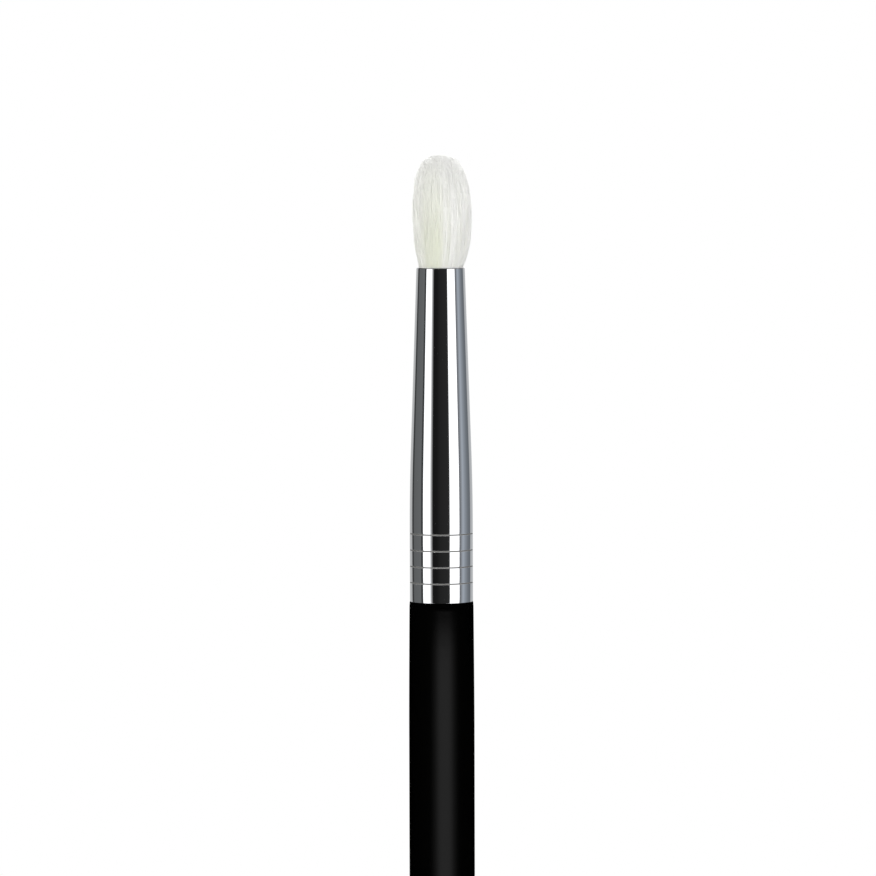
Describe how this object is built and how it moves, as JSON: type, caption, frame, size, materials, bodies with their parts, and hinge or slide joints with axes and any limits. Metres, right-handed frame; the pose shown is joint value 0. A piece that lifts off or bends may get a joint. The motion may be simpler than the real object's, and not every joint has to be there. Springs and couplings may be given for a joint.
{
  "type": "eyeshadow brush",
  "caption": "Long-handled eyeshadow brush: a domed round tuft of pale hair in a long tapered bright ferrule with scored rings, on a slim black lacquered wooden handle.",
  "frame": {"origin": "tip of the handle's rounded tail, on the brush's axis", "axes": "+Z runs along the brush's axis from the tail to the tips of the hair; the brush is round, so X and Y are any two directions square to it"},
  "size_m": [0.008, 0.008, 0.18],
  "materials": {
    "handle_lacquer": "turned birch under satin black lacquer",
    "ferrule_plating": "drawn brass tube, polished and chrome plated",
    "adhesive": "set contact adhesive",
    "goat_hair": "undyed white goat hair",
    "binding_thread": "waxed cotton thread",
    "cast_resin": "cast epoxy"
  },
  "bodies": {
    "root": {"handle": "handle_lacquer", "ferrule": "ferrule_plating", "ferrule_glue": "adhesive", "hair_bundle": "goat_hair", "root_binding": "binding_thread", "resin_plug": "cast_resin"}
  },
  "joints": []
}
